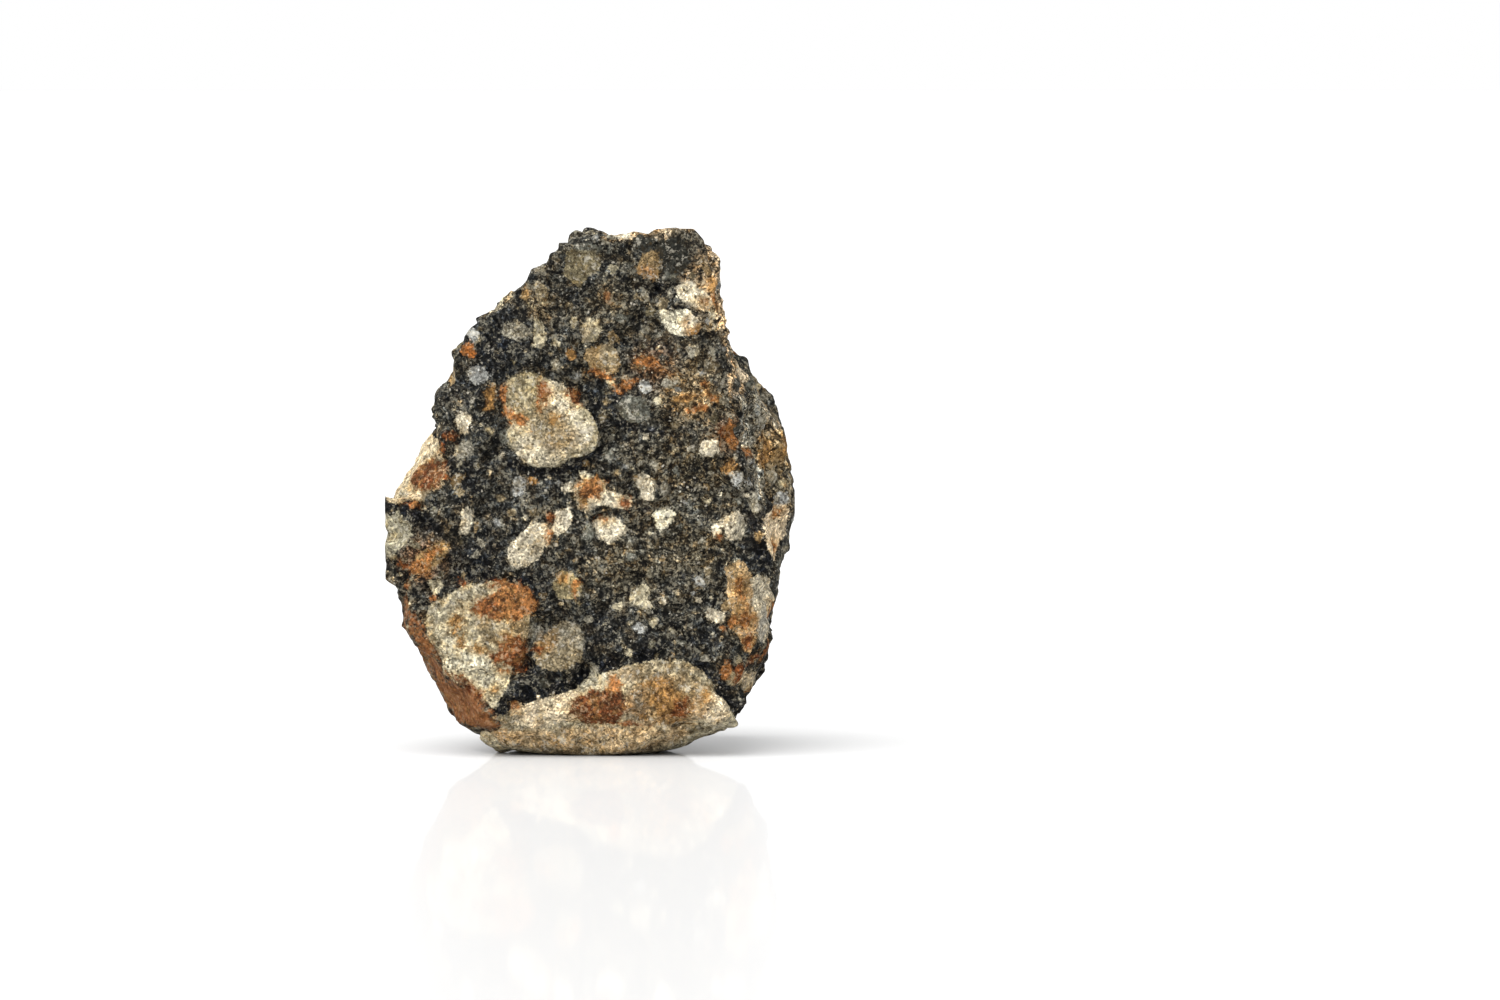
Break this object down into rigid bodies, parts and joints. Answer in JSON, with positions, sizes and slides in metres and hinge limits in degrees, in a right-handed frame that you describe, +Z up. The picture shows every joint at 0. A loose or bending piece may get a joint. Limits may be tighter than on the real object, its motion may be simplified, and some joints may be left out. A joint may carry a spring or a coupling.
{
  "type": "lunar meteorite",
  "caption": "Small broken stone of dark lunar breccia with pale and rust-coloured clasts, standing on a small flat spot.",
  "frame": {"origin": "middle of the bounding box's base, on the surface that the stone rests on", "axes": "+Z up, as the stone stands in the picture; -Y out of the broad broken face; +X to the right when that face is looked at"},
  "size_m": [0.0138, 0.0104, 0.0179],
  "materials": {
    "breccia": "rough broken breccia, dark grey groundmass with cream, tan and rust clasts"
  },
  "bodies": {
    "root": {"stone": "breccia"}
  },
  "joints": []
}
